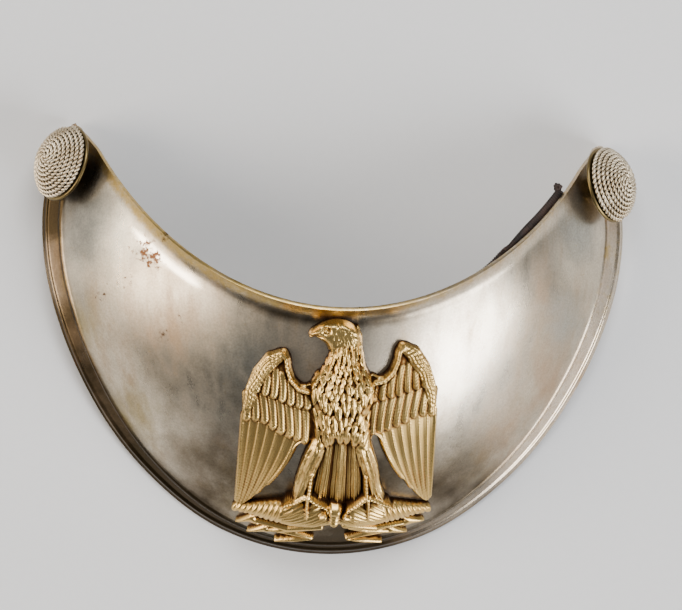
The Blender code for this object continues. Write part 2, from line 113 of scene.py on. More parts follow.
def neckPoint(angle):
    turn = np.radians(angle)
    x = plate["neckAcross"] + plate["neckHalfWidth"] * np.sin(turn)
    y = plate["neckFloor"] + plate["neckHalfHeight"] * (1 - np.cos(turn))
    return np.stack([x, y], -1)


def pressedHeight(x, y):
    angle = np.abs(np.degrees(np.arctan2(x, -y)))
    wave = np.sin(np.pi * np.minimum(angle / plate["domeDrawSpan"], 1.0))
    drawn = np.hypot(x, y) / (1 - plate["domeDraw"] * wave**2)
    return np.sqrt(plate["domeRadius"] ** 2 - drawn**2)


def bandReach(angle):
    side = smoothStep(np.abs(angle) / 90.0)
    return plate["bandBottom"] + (plate["bandSide"] - plate["bandBottom"]) * side


def edgeLevel(angle):
    radius = edgeRadius(angle)
    point = edgePoint(angle) * ((radius - bandReach(angle)) / radius)
    return float(pressedHeight(point[0], point[1]) - plate["bandDrop"])


bottomLevel = edgeLevel(0.0)
hornRise = edgeLevel(plate["hornAngle"]) - plate["hornDrop"] - bottomLevel
restLean = hornRise / (float(edgePoint(plate["hornAngle"])[1]) + plate["edgeRadius"])


def domePoint(x, y):
    z = pressedHeight(x, y) - bottomLevel - restLean * (y + plate["edgeRadius"])
    return np.stack([x, y, z], -1)


def unit(v):
    return v / np.linalg.norm(v, axis=-1, keepdims=True)


def domeNormal(x, y):
    step = 0.1
    across = domePoint(x + step, y) - domePoint(x - step, y)
    up = domePoint(x, y + step) - domePoint(x, y - step)
    return unit(np.cross(across, up))


def lipHeight(distance, tipShare):
    rise = plate["lipRise"] * (1 - (1 - plate["lipAtTip"]) * smoothStep(tipShare))
    inside = np.clip(distance / plate["lipReach"], 0.0, 1.0)
    return rise * (1 - inside) ** plate["lipCurl"]


def crossCosine(curve, angle, along):
    tangent = unit(curve(angle + 0.5) - curve(angle - 0.5))
    return np.maximum(np.abs(along[..., 0] * tangent[..., 1] - along[..., 1] * tangent[..., 0]), 0.5)


def gridFaces(rows, columns, closed=False):
    # quads of a grid, rows by columns, wound as the plate's face is
    index = np.arange(rows * columns).reshape(rows, columns)
    if closed:
        index = np.concatenate([index, index[:, :1]], 1)
    return np.stack([index[:-1, :-1], index[:-1, 1:], index[1:, 1:], index[1:, :-1]], -1).reshape(-1, 4)


def makePiece(name, points, faces, finish, replaced=(), marks=None, inPlan=True):
    points = np.asarray(points, float).reshape(-1, 3)
    if inPlan:
        points = points + np.array(plate["seat"])
    mesh = bpy.data.meshes.new(name)
    mesh.from_pydata((points * 0.001).tolist(), [], np.asarray(faces).tolist())
    mesh.polygons.foreach_set("use_smooth", np.ones(len(mesh.polygons), bool))
    for key, values in (marks or {}).items():
        attribute = mesh.attributes.new(key, "FLOAT", "POINT")
        attribute.data.foreach_set("value", np.asarray(values, np.float32).ravel())
    mesh.update()
    made = bpy.data.objects.new(name, mesh)
    bpy.context.scene.collection.objects.link(made)
    mesh.materials.append(finish)
    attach(made, "root")
    if replaced:
        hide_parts(*replaced)
    return made


# Materials
def toLinear(code):
    parts = [int(code[i : i + 2], 16) / 255 for i in (1, 3, 5)]
    return tuple(c / 12.92 if c <= 0.04045 else ((c + 0.055) / 1.055) ** 2.4 for c in parts) + (1.0,)


def addNode(tree, kind, settings=None, inputs=None):
    # one node with its settings, its values and its links
    node = tree.nodes.new(kind)
    for key, value in (settings or {}).items():
        setattr(node, key, value)
    for key, value in (inputs or {}).items():
        if isinstance(value, bpy.types.NodeSocket):
            tree.links.new(value, node.inputs[key])
        else:
            node.inputs[key].default_value = value
    return node


def noise(tree, place, grainMm, detail, roughness=0.5):
    # a cloudy pattern, scaled from the real size of its grain
    inputs = {"Vector": place, "Scale": 1000.0 / grainMm, "Detail": detail, "Roughness": roughness}
    return addNode(tree, "ShaderNodeTexNoise", None, inputs).outputs["Fac"]


def remapped(tree, value, least, most, low=0.0, high=1.0):
    inputs = {"Value": value, "From Min": least, "From Max": most, "To Min": low, "To Max": high}
    return addNode(tree, "ShaderNodeMapRange", None, inputs).outputs["Result"]


def mixed(tree, share, under, over, blend="MIX"):
    settings = {"data_type": "RGBA", "blend_type": blend}
    return addNode(tree, "ShaderNodeMix", settings, {0: share, 6: under, 7: over}).outputs[2]


def counted(tree, operation, *values):
    return addNode(tree, "ShaderNodeMath", {"operation": operation}, dict(enumerate(values))).outputs[0]


def marked(tree, name):
    return addNode(tree, "ShaderNodeAttribute", {"attribute_name": name}).outputs["Fac"]


def bumped(tree, height, strength, depthMm, under=None):
    inputs = {"Strength": strength, "Distance": depthMm * 0.001, "Height": height}
    if under is not None:
        inputs["Normal"] = under
    return addNode(tree, "ShaderNodeBump", None, inputs).outputs["Normal"]


def startMaterial(name, metallic, roughness):
    material = bpy.data.materials.new(name)
    material.use_nodes = True
    tree = material.node_tree
    shader = tree.nodes["Principled BSDF"]
    shader.inputs["Metallic"].default_value = metallic
    shader.inputs["Roughness"].default_value = roughness
    place = addNode(tree, "ShaderNodeTexCoord").outputs["Object"]
    return material, tree, shader, place


def dress(tree, shader, **sockets):
    names = {"tone": "Base Color", "rough": "Roughness", "normal": "Normal"}
    for key, socket in sockets.items():
        tree.links.new(socket, shader.inputs[names[key]])


silverLook = {
    "plating": "#cfc3ae",
    "tarnish": "#a3957f",
    "blueTarnish": "#8d938f",
    "brown": "#4a3120",
    "olive": "#8b7a45",
    "paintedHighlight": "#f4ead8",
    "brass": "#b3975a",
    "tan": "#a08468",
    "dark": "#3b301f",
    "cloudMm": 26.0,
    "streakMm": 7.0,
    "speckMm": 1.3,
    "grainMm": 0.5,
    "dentMm": 14.0,
}


def silverPlating():
    # silver plate over brass, pressed and polished, then tarnished: cloudy warm grey, brass at the edges,
    # with painted highlights and painted shade laid on from the plate's marks
    material, tree, shader, place = startMaterial("silver plating over brass, tarnished", 1.0, 0.3)
    look = silverLook
    colour = {key: toLinear(code) for key, code in look.items() if isinstance(code, str)}
    cloud = noise(tree, place, look["cloudMm"], 6.0, 0.6)
    drawn = {"Vector": place, "Rotation": (0.0, 0.0, 0.5), "Scale": (1.0, 0.25, 1.0)}
    streakPlace = addNode(tree, "ShaderNodeMapping", None, drawn).outputs["Vector"]
    streak = noise(tree, streakPlace, look["streakMm"], 8.0, 0.65)
    speck = noise(tree, place, look["speckMm"], 4.0, 0.6)
    grain = noise(tree, place, look["grainMm"], 3.0)

    base = mixed(tree, remapped(tree, cloud, 0.36, 0.66), colour["plating"], colour["tarnish"])
    base = mixed(tree, remapped(tree, streak, 0.45, 0.75, 0.0, 0.45), base, colour["tan"])
    for key, tone, pattern, least, most in (
        ("blueMark", "blueTarnish", cloud, 0.62, 1.15),
        ("oliveMark", "olive", streak, 0.62, 1.15),
        ("tanMark", "tan", streak, 0.62, 1.15),
        ("paintedHighlightAndPolishMark", "paintedHighlight", cloud, 0.62, 1.15),
        ("brassMark", "brass", speck, 0.62, 1.15),
        ("paintedShadeAndDarkeningMark", "dark", cloud, 0.62, 1.15),
        ("brownMark", "brown", speck, 0.78, 0.9),
    ):
        # each mark says how strong its stain, painted highlight or painted shade is, and the noise breaks up
        # its edge
        raised = counted(tree, "ADD", marked(tree, key), pattern)
        base = mixed(tree, remapped(tree, raised, least, most), base, colour[tone])
    mottled = mixed(tree, 0.35, base, grain, "OVERLAY")
    polish = remapped(tree, marked(tree, "paintedHighlightAndPolishMark"), 0.0, 1.0, 1.0, 0.4)
    rough = counted(tree, "MULTIPLY", remapped(tree, streak, 0.3, 0.75, 0.24, 0.44), polish)
    dents = bumped(tree, noise(tree, place, look["dentMm"], 1.0), 0.2, 0.4)
    dress(tree, shader, tone=mottled, rough=rough, normal=bumped(tree, grain, 0.06, 0.1, dents))
    return material


giltLook = {
    "gilt": "#e6c67e",
    "worn": "#c89d55",
    "patina": "#5b3a1c",
    "deep": "#2e1c0e",
    "cloudMm": 9.0,
    "grainMm": 0.35,
}


def giltBrass():
    # cast brass, fire gilt and chased: warm gold on the tops, brown patina in the hollows, and painted shade,
    # near black, in the deepest hollows
    material, tree, shader, place = startMaterial("gilt cast brass with patina", 1.0, 0.3)
    look = giltLook
    cloud = noise(tree, place, look["cloudMm"], 5.0)
    grain = noise(tree, place, look["grainMm"], 3.0)
    broken = counted(tree, "MULTIPLY_ADD", grain, 0.35, marked(tree, "hollowMark"))
    tone = mixed(tree, cloud, toLinear(look["gilt"]), toLinear(look["worn"]))
    tone = mixed(tree, remapped(tree, broken, 0.22, 0.75), tone, toLinear(look["patina"]))
    # painted shade: the deepest hollows go near black
    tone = mixed(tree, remapped(tree, broken, 0.75, 1.3), tone, toLinear(look["deep"]))
    rough = remapped(tree, broken, 0.1, 0.9, 0.26, 0.55)
    dress(tree, shader, tone=tone, rough=rough, normal=bumped(tree, grain, 0.18, 0.1))
    return material


brassLook = {"brass": "#85744b", "dull": "#5d4d33", "cloudMm": 4.0, "grainMm": 0.3}


def dullBrass():
    # turned sheet brass gone dull with age
    material, tree, shader, place = startMaterial("turned brass, dull", 1.0, 0.36)
    cloud = noise(tree, place, brassLook["cloudMm"], 6.0)
    grain = noise(tree, place, brassLook["grainMm"], 2.0)
    tone = mixed(tree, cloud, toLinear(brassLook["brass"]), toLinear(brassLook["dull"]))
    dress(tree, shader, tone=tone, normal=bumped(tree, grain, 0.15, 0.1))
    return material


cordLook = {"thread": "#eadbc0", "tarnish": "#b8a484", "plyShade": "#3a3022", "cloudMm": 5.0, "threadMm": 0.22}


def silverThread():
    # silver wire thread wound on a core and twisted in plies: bright tops, with painted shade between the
    # plies
    material, tree, shader, place = startMaterial("silver wire thread, twisted", 1.0, 0.4)
    look = cordLook
    worn = remapped(tree, noise(tree, place, look["cloudMm"], 5.0), 0.35, 0.75)
    tone = mixed(tree, worn, toLinear(look["thread"]), toLinear(look["tarnish"]))
    # painted shade: darker the deeper a place lies between the plies
    plyShade = remapped(tree, marked(tree, "hollowMark"), 0.0, 0.42)
    tone = mixed(tree, plyShade, tone, toLinear(look["plyShade"]))
    grain = noise(tree, place, look["threadMm"], 2.0)
    dress(tree, shader, tone=tone, normal=bumped(tree, grain, 0.5, 0.1))
    return material


leatherLook = {"leather": "#1c110c", "worn": "#3a271d", "wearMm": 3.0, "grainMm": 0.7}


def darkLeather():
    # vegetable-tanned leather, old and dry: near black brown with a pebbled grain
    material, tree, shader, place = startMaterial("old tanned leather", 0.0, 0.72)
    look = leatherLook
    pebbles = {"Vector": place, "Scale": 1000.0 / look["grainMm"]}
    grain = addNode(tree, "ShaderNodeTexVoronoi", None, pebbles).outputs["Distance"]
    wear = remapped(tree, noise(tree, place, look["wearMm"], 6.0), 0.4, 0.7)
    tone = mixed(tree, wear, toLinear(look["leather"]), toLinear(look["worn"]))
    dress(tree, shader, tone=tone, normal=bumped(tree, grain, 0.6, 0.3))
    return material


silver = silverPlating()
gilt = giltBrass()
brass = dullBrass()
thread = silverThread()
leather = darkLeather()
print("materials ready")


# The plate: one pressed sheet with its rolled neck rim and ridged border
def plateSurface():
    half = plate["stations"] // 2
    share = np.sin(np.pi / 2 * np.arange(-half, half + 1) / half)
    neckAngle = plate["neckSweep"] * share
    outerAngle = plate["edgeSweep"] * share
    neck = neckPoint(neckAngle)
    edge = edgePoint(outerAngle)
    width = np.linalg.norm(edge - neck, axis=-1)
    across = (edge - neck) / width[:, None]
    intoTip = np.maximum(np.abs(share) - plate["tipStart"], 0.0) / (1 - plate["tipStart"]) * plate["tipClose"]
    narrow = np.sqrt(1 - intoTip**2)
    start = (neck + edge) / 2 - across * (width / 2 * narrow)[:, None]
    length = width * narrow
    lip = plate["lipReach"] * narrow / crossCosine(neckPoint, neckAngle, across)
    raised = narrow * smoothStep((narrow - 0.15) / 0.6)  # rim and ridges fade out towards the rounded tip
    band = bandReach(outerAngle) * narrow / crossCosine(edgePoint, outerAngle, across)
    ridge = plate["ridgeHalf"] * narrow
    inset = plate["outerRidgeInset"] * narrow
    inner = length - band - ridge
    rows, lipMarks, bandMarks = [], [], []

    for step in range(plate["lipRows"]):
        inside = (step / plate["lipRows"]) ** 1.3
        plan = start + across * (lip * inside)[:, None]
        point = domePoint(plan[:, 0], plan[:, 1])
        point[:, 2] += lipHeight(plate["lipReach"] * inside, np.abs(share)) * raised
        rows.append(point)
        lipMarks.append(np.full(len(share), inside * plate["lipReach"]))
        bandMarks.append(np.full(len(share), -20.0))
    for step in range(plate["domeRows"]):
        distance = lip + (inner - lip) * step / plate["domeRows"]
        plan = start + across * distance[:, None]
        rows.append(domePoint(plan[:, 0], plan[:, 1]))
        lipMarks.append(plate["lipReach"] + distance - lip)
        bandMarks.append(distance - (length - band))

    junctionPlan = start + across * (length - band)[:, None]
    junction = domePoint(junctionPlan[:, 0], junctionPlan[:, 1])
    junctionNormal = domeNormal(junctionPlan[:, 0], junctionPlan[:, 1])
    outward = unit(np.concatenate([across * plate["bandDrop"], band[:, None]], 1))
    for step in range(plate["bandRows"] + 1):
        d = -ridge + (band + ridge) * step / plate["bandRows"]
        plan = start + across * (length - band + d)[:, None]
        point = domePoint(plan[:, 0], plan[:, 1])
        inBand = d > 0
        level = junction[:, 2] - plate["bandDrop"] * d / band * np.minimum(narrow, 0.3 + raised)
        point[:, 2] = np.where(inBand, level, point[:, 2])
        first = np.where(np.abs(d) < ridge, 0.5 + 0.5 * np.cos(np.pi * d / ridge), 0.0)
        away = np.abs(d - (band - inset))
        second = np.where(away < ridge, 0.5 + 0.5 * np.cos(np.pi * away / ridge), 0.0)
        ridges = junctionNormal * first[:, None] + outward * second[:, None]
        point += ridges * plate["ridgeHeight"] * raised[:, None]
        rows.append(point)
        lipMarks.append(plate["lipReach"] + length - band + d - lip)
        bandMarks.append(d / band * 5.0)
    points = np.stack(rows, 1)
    shares = np.repeat(share[:, None], points.shape[1], 1)
    return points, np.stack(lipMarks, 1), np.stack(bandMarks, 1), shares


# Stains and spots of painted shade in the plan, in millimetres: across, up, reach, strength
stainsAndShade = {
    "brownMark": [
        (-49, 2, 4.2, 0.30), (-45, -1.5, 3.4, 0.30), (-52, -6, 3, 0.24), (-66.4, -28.6, 2.6, 0.5),
        (-43, 5, 2.5, 0.26), (-59, -10, 4, 0.25), (-43, -20, 2.5, 0.28), (-38.5, -15, 2, 0.25),
    ],
    "oliveMark": [
        (-66.8, -18.2, 8, 0.55), (-61.6, -49.5, 9, 0.5), (-49.9, -40.4, 9, 0.4), (-20, -60, 10, 0.3),
        (40, -52, 10, 0.25),
    ],
    "blueMark": [(-62, 10, 14, 0.5), (62, 12, 10, 0.42), (-20, -25, 14, 0.3), (60, -14, 8, 0.2)],
    "tanMark": [(52, -4, 12, 0.32), (56, -26, 12, 0.36), (-48, -20, 14, 0.3), (46, -46, 12, 0.3)],
    # painted shade: dark reflections that make the plate darker low down and on both horns
    "paintedShadeAndDarkeningMark": [
        (2, -66, 26, 0.58), (-34, -58, 17, 0.42), (36, -56, 16, 0.36), (-66, 12, 13, 0.42),
        (-69, 24, 9, 0.3), (66, 16, 8, 0.22),
    ],
    "brassMark": [
        (-69.6, -7.5, 2.6, 0.5), (-71.3, 3.5, 2.0, 0.35), (70.7, 6.0, 2.2, 0.45), (-64, -26, 4, 0.2),
    ],
}


def makePlate():
    points, lipMark, bandMark, share = plateSurface()
    x, y = points[..., 0], points[..., 1]
    marks = {}
    for key, spots in stainsAndShade.items():
        total = np.zeros(x.shape)
        for cx, cy, reach, strength in spots:
            total += strength * np.exp(-((x - cx) ** 2 + (y - cy) ** 2) / (reach * reach))
        marks[key] = total
    # the rim and the border wear through to brass; the plate is darker beside the ridges, along the left
    # border and at the outer edge
    inTip = smoothStep((0.985 - np.abs(share)) / 0.05)
    toRight = smoothStep((x + 5) / 45)
    onBand = smoothStep((bandMark + 0.6) / 0.5)
    rimBrass = bell(lipMark, 2.1 - 1.2 * toRight, 4) * (0.60 - 0.34 * toRight)
    ridgeBrass = onBand * 0.10 * toRight + 0.14 * bell(bandMark - 3.7, 0.7) + 0.10 * bell(bandMark, 0.5)
    marks["brassMark"] = marks["brassMark"] * bell(bandMark - 0.4, 1.1) + rimBrass + ridgeBrass
    marks["tanMark"] += onBand * (0.55 - 0.12 * toRight) + 0.2 * bell(lipMark, 2.0)
    besideRidge = 0.22 * bell(bandMark + 0.8, 0.5) * (1 - 0.6 * toRight)
    marks["paintedShadeAndDarkeningMark"] += onBand * 0.48 * (1 - toRight) + besideRidge + 0.14 * bell(bandMark - 4.7, 0.35)
    # painted shade: a dark band just inside the neck rim, strongest in the middle
    marks["paintedShadeAndDarkeningMark"] += 0.62 * bell(lipMark - 3.0, 1.5) * bell(x - 2, 36)
    marks["paintedShadeAndDarkeningMark"] *= inTip
    # painted highlights: a bright strip along the left shoulder just inside the rim, a broad patch on the
    # right of the plate, and the right border lit brighter; the same mark makes these places less rough
    shoulderHighlight = bell(lipMark - 4.6, 0.9) * smoothStep((x + 54) / 6) * smoothStep((-31 - x) / 6)
    rightHighlight = 0.35 * np.exp(-(((x - 34) / 15) ** 2 + ((y + 24) / 17) ** 2))
    marks["paintedHighlightAndPolishMark"] = 0.9 * shoulderHighlight + onBand * 0.30 * toRight + rightHighlight
    faces = gridFaces(*points.shape[:2])
    made = makePiece("silver_plate", points, faces, silver, ["gorget_plate"], marks)
    sheet = made.modifiers.new("Sheet", "SOLIDIFY")
    sheet.thickness = plate["sheet"] * 0.001
    sheet.offset = -1.0
    soft = made.modifiers.new("Softened edges", "BEVEL")
    soft.width = 0.0003
    soft.segments = 2
    soft.limit_method = "ANGLE"
    soft.angle_limit = math.radians(50)


makePlate()
print("plate ready")

# The eagle: a relief worked out on a fine grid in the plan, then laid on the dome.
# Places are in millimetres, across from the badge's middle line and up in the plate's plan.
eagle = {
    "middle": 2.0,
    "step": 0.155,
    "left": -26.2,
    "right": 26.2,
    "top": -12.9,
    "bottom": -72.2,
    "seed": 11,
    "wingLift": 1.4,  # the right wing sits higher than the left one
    "wingBase": 1.0,
    "wingRim": 0.5,
    "barbDepth": 0.22,
    "wingOutline": [
        (7.2, -27.7), (9.1, -28.9), (11.1, -27.8), (12.4, -25.1), (12.6, -22.0), (14.5, -19.6),
        (17.9, -20.9), (20.9, -24.2),
        (23.2, -29.5), (24.1, -34.5), (24.3, -40.0), (24.5, -50.8), (24.8, -59.0), (23.6, -60.6),
        (21.4, -59.2), (18.1, -55.9),
        (14.6, -52.3), (11.5, -47.9), (10.1, -43.5), (4.0, -41.8), (4.0, -30.0),
    ],
    "roll": [(8.0, -30.2), (10.3, -29.6), (12.3, -27.4), (13.3, -24.6), (13.7, -22.3), (14.9, -20.9)],
    "rollHalf": 0.85,
    "rollHeight": 2.7,
    "hump": [(14.8, -21.5), (17.3, -23.0), (19.9, -26.5), (21.8, -30.5), (22.7, -35.0)],
    "humpHalf": [1.5, 2.3, 2.3, 1.9, 1.3],
    "humpHeight": [2.5, 2.6, 2.5, 2.3, 2.0],
    "upperRoots": [
        (8.8, -30.6), (10.9, -30.0), (13.0, -28.4), (15.0, -26.8), (16.8, -25.6), (18.6, -25.6),
        (20.6, -26.4),
    ],
    "upperTips": [
        (8.0, -35.2), (10.0, -34.8), (12.2, -34.2), (14.3, -33.5), (16.5, -32.7), (18.7, -32.0),
        (20.9, -31.3),
    ],
    "lowerRoots": [
        (9.0, -35.0), (11.2, -34.4), (13.4, -33.6), (15.6, -32.6), (17.7, -31.7), (19.9, -31.0),
        (21.9, -30.8), (23.2, -32.0),
    ],
    "lowerTips": [
        (8.3, -43.7), (10.2, -43.1), (12.0, -42.4), (14.2, -41.5), (16.2, -40.4), (18.3, -39.2),
        (20.6, -38.4), (23.0, -38.4),
    ],
    "longRoots": [
        (10.6, -42.0), (12.9, -41.2), (15.2, -40.2), (17.5, -39.2), (19.7, -38.3), (21.8, -37.6),
        (23.5, -37.2),
    ],
    "longTips": [
        (17.0, -54.6), (19.4, -57.0), (21.2, -58.6), (22.4, -59.5), (23.3, -60.0), (24.0, -60.0),
        (24.5, -59.4),
    ],
    "headOutline": [
        (-2.0, -13.4), (-4.4, -13.9), (-6.3, -15.0), (-8.1, -16.1), (-8.9, -17.2), (-8.4, -18.8),
        (-7.7, -18.4), (-6.9, -18.2),
        (-5.6, -19.1), (-4.2, -20.2), (-3.6, -22.0), (4.6, -22.0), (4.6, -19.0), (3.9, -16.6),
        (2.6, -14.9), (0.4, -13.7),
    ],
    "bodyOutline": [
        (-3.7, -19.8), (-3.6, -23.0), (-4.8, -25.6), (-7.2, -27.8), (-8.3, -30.5), (-8.1, -33.6),
        (-7.0, -36.5), (-6.4, -40.0),
        (-6.6, -44.6), (-4.6, -46.8), (-0.4, -44.6), (4.2, -45.6), (8.6, -45.8), (8.2, -41.0),
        (7.6, -37.0), (8.5, -33.4),
        (8.8, -30.0), (7.6, -27.2), (5.9, -25.1), (4.9, -21.5), (4.4, -17.8), (0.0, -17.0),
    ],
    # middle, half span, tip height at the middle and at the sides, how many, length, half width, fan, rise
    "coat": [
        (1.0, 6.6, -44.0, -46.0, 8, 4.2, 1.05, -0.28, 0.55),
        (0.6, 6.2, -42.2, -43.6, 8, 3.4, 0.95, -0.34, 0.35),
        (0.5, 6.4, -40.6, -40.6, 9, 3.0, 0.80, -0.42, 0.60),
        (0.4, 6.6, -39.0, -38.4, 10, 2.6, 0.70, -0.38, 0.25),
        (0.2, 7.0, -37.2, -33.6, 11, 3.0, 0.85, -0.10, 0.80),
        (0.3, 7.4, -35.2, -31.9, 11, 2.5, 0.80, 0.10, 0.40),
        (0.3, 7.6, -33.3, -30.3, 11, 2.4, 0.76, 0.26, 0.42),
        (0.3, 7.2, -31.4, -28.7, 10, 2.4, 0.74, 0.42, 0.38),
        (0.3, 6.4, -29.4, -27.0, 9, 2.5, 0.68, 0.55, 0.34),
        (0.3, 5.4, -27.5, -25.4, 9, 3.2, 0.58, 0.40, 0.32),
        (0.5, 4.6, -25.7, -24.0, 8, 3.6, 0.54, 0.26, 0.32),
        (0.6, 4.1, -23.8, -22.4, 8, 3.6, 0.52, 0.16, 0.32),
        (0.8, 3.9, -22.0, -20.8, 7, 3.4, 0.50, 0.10, 0.30),
        (1.3, 3.4, -20.2, -18.9, 6, 3.0, 0.48, 0.16, 0.28),
        (1.6, 2.8, -18.4, -17.2, 5, 2.6, 0.46, 0.24, 0.25),
    ],
    # path, half widths and heights of each leg's feathering, and the banded shank beside it
    "legs": {
        -1: ([(-4.8, -44.5), (-6.5, -49.4), (-7.8, -54.4), (-8.9, -57.6)], [2.4, 2.5, 2.5, 1.7],
            (-6.0, -51.6), (-6.4, -57.4)),
        1: ([(6.0, -44.5), (7.9, -49.6), (9.2, -54.4), (10.9, -57.2)], [2.6, 2.5, 2.2, 1.7],
            (7.1, -51.6), (7.7, -57.2)),
    },
    "legHeight": [3.9, 3.7, 3.3, 3.5],
    "toes": {
        -1: [
            [(-6.6, -57.0), (-4.4, -58.4), (-1.9, -59.4), (-1.5, -60.4)],
            [(-7.4, -57.2), (-9.6, -58.5), (-11.8, -59.1), (-12.5, -60.0)],
            [(-6.6, -57.2), (-6.6, -60.4), (-6.5, -62.2)],
        ],
        1: [
            [(7.6, -56.8), (5.4, -58.6), (3.3, -59.9), (2.6, -60.9)],
            [(8.6, -56.8), (11.0, -57.7), (13.4, -58.4), (14.2, -59.3)],
            [(8.0, -57.0), (8.2, -60.0), (8.3, -61.8)],
        ],
    },
    "bolts": {
        -1: [(-24.5, -62.1), (-21.0, -62.2), (-16.0, -62.5), (-10.0, -62.8), (-5.0, -62.8), (-1.2, -62.8)],
        1: [(24.1, -60.7), (21.0, -60.8), (16.0, -61.3), (10.0, -61.8), (5.0, -62.2), (1.6, -62.5)],
    },
    "boltHalf": [1.0, 1.35, 2.4, 3.3, 3.4, 2.6],
    "boltHeight": [2.0, 2.4, 3.1, 3.8, 4.0, 3.5],
    # each dart is a run of points with a half width at each
    "darts": [
        ([(-24.2, -66.1), (-20.4, -65.2), (-19.2, -65.7), (-11.2, -67.4), (-2.6, -66.7)],
            [0.2, 1.15, 0.5, 0.6, 0.75]),
        ([(-21.2, -68.5), (-17.0, -67.8), (-16.0, -68.0), (-9.0, -67.6), (-4.0, -66.9)],
            [0.2, 1.0, 0.5, 0.6, 0.6]),
        ([(-4.5, -69.7), (-9.0, -68.7), (-14.0, -67.9)], [0.2, 0.7, 0.5]),
        ([(-4.9, -69.9), (-9.0, -70.3), (-14.0, -70.7)], [0.2, 0.55, 0.4]),
        ([(23.6, -63.9), (19.6, -64.4), (18.4, -64.9), (11.4, -66.4), (3.0, -66.0)],
            [0.2, 1.1, 0.5, 0.6, 0.75]),
        ([(19.4, -67.1), (15.6, -66.9), (14.6, -67.1), (9.0, -67.2), (4.4, -66.4)],
            [0.2, 1.0, 0.5, 0.6, 0.6]),
        ([(3.8, -69.4), (8.4, -68.1), (13.2, -67.2)], [0.2, 0.7, 0.5]),
        ([(4.2, -69.7), (8.6, -69.9), (13.0, -70.0)], [0.2, 0.55, 0.4]),
    ],
    "dartHeight": 1.6,
    "barbs": [
        ((-20.6, -65.0), (-18.6, -64.0)), ((-20.6, -65.6), (-18.4, -66.8)),
        ((-17.2, -67.6), (-15.4, -66.9)), ((19.8, -64.2), (17.8, -63.4)),
        ((19.8, -64.8), (17.6, -66.0)), ((15.8, -66.8), (14.0, -66.1)),
    ],
}

gridX, gridY = np.meshgrid(
    np.arange(eagle["left"], eagle["right"], eagle["step"]),
    np.arange(eagle["bottom"], eagle["top"], eagle["step"]),
)


def lay(relief, body):
    np.maximum(relief, body, out=relief)


def crown(q, power=0.5):
    # rounds a section, and goes on below nothing outside it so that its outline stays smooth
    return np.sign(q) * np.abs(q) ** power


def limb(a, b, widthA, widthB, heightA, heightB, power=0.5):
    dx, dy = b[0] - a[0], b[1] - a[1]
    t = np.clip(((gridX - a[0]) * dx + (gridY - a[1]) * dy) / (dx * dx + dy * dy), 0, 1)
    away = np.hypot(gridX - a[0] - t * dx, gridY - a[1] - t * dy)
    width = widthA + (widthB - widthA) * t
    height = heightA + (heightB - heightA) * t
    return height * crown(1 - (away / width) ** 2, power)


def pathBody(path, widths, heights, power=0.5):
    # a rounded body along a path, with the distance along it and across it
    path = np.asarray(path, float)
    lengths = np.hypot(*(path[1:] - path[:-1]).T)
    gone = np.concatenate([[0], np.cumsum(lengths)])
    best = np.full(gridX.shape, 1e9)
    along, side, spot = np.zeros(gridX.shape), np.zeros(gridX.shape), np.zeros(gridX.shape)
    for i, length in enumerate(lengths):
        dx, dy = (path[i + 1] - path[i]) / length
        t = np.clip((gridX - path[i][0]) * dx + (gridY - path[i][1]) * dy, 0, length)
        away = np.hypot(gridX - path[i][0] - t * dx, gridY - path[i][1] - t * dy)
        closer = away < best
        turn = np.sign((gridX - path[i][0]) * dy - (gridY - path[i][1]) * dx)
        best = np.where(closer, away, best)
        along = np.where(closer, gone[i] + t, along)
        side = np.where(closer, away * turn, side)
        spot = np.where(closer, i + t / length, spot)
    stops = np.arange(len(path))
    width = np.interp(spot, stops, widths)
    height = np.interp(spot, stops, heights)
    q = 1 - (side / width) ** 2
    return height * crown(q, power), along, side / width, q


def insideDistance(corners):
    # signed distance to a closed outline, positive inside
    corners = np.asarray(corners, float)
    best = np.full(gridX.shape, 1e9)
    inside = np.zeros(gridX.shape, bool)
    for a, b in zip(corners, np.roll(corners, -1, 0)):
        d = b - a
        t = np.clip(((gridX - a[0]) * d[0] + (gridY - a[1]) * d[1]) / (d @ d), 0, 1)
        best = np.minimum(best, np.hypot(gridX - a[0] - t * d[0], gridY - a[1] - t * d[1]))
        reached = (b[0] - a[0]) * (gridY - a[1]) / (b[1] - a[1] + 1e-9) + a[0]
        inside ^= ((a[1] > gridY) != (b[1] > gridY)) & (gridX < reached)
    return np.where(inside, best, -best)


def roundedOutline(corners, times=2):
    # cuts the corners of an outline so that it reads as one curve
    for _ in range(times):
        cut = []
        for a, b in zip(corners, corners[1:] + corners[:1]):
            cut.append((a[0] * 0.75 + b[0] * 0.25, a[1] * 0.75 + b[1] * 0.25))
            cut.append((a[0] * 0.25 + b[0] * 0.75, a[1] * 0.25 + b[1] * 0.75))
        corners = cut
    return corners


def pillow(outline, height, reach):
    # a cushion over an outline, flat further in than the reach
    inside = insideDistance(roundedOutline(outline))
    rise = np.clip(inside / reach, -0.2, 1.0)
    return np.where(rise > 0, height * np.sqrt(np.maximum(1 - (1 - rise) ** 2, 0)), rise * 5)


def patch(ends, margin):
    # the part of the grid round two points
    spans = []
    for axis, start in ((1, eagle["bottom"]), (0, eagle["left"])):
        low = int((min(p[axis] for p in ends) - margin - start) / eagle["step"])
        high = int((max(p[axis] for p in ends) + margin - start) / eagle["step"])
        spans.append(slice(max(low, 0), max(high + 2, 1)))
    return tuple(spans)


def alongBlade(area, root, tip, bend):
    x, y = gridX[area], gridY[area]
    length = math.hypot(tip[0] - root[0], tip[1] - root[1])
    dx, dy = (tip[0] - root[0]) / length, (tip[1] - root[1]) / length
    t = ((x - root[0]) * dx + (y - root[1]) * dy) / length
    across = (x - root[0]) * dy - (y - root[1]) * dx
    bowed = np.clip(t, 0, 1)
    return t, across - bend * length * 4 * bowed * (1 - bowed), length


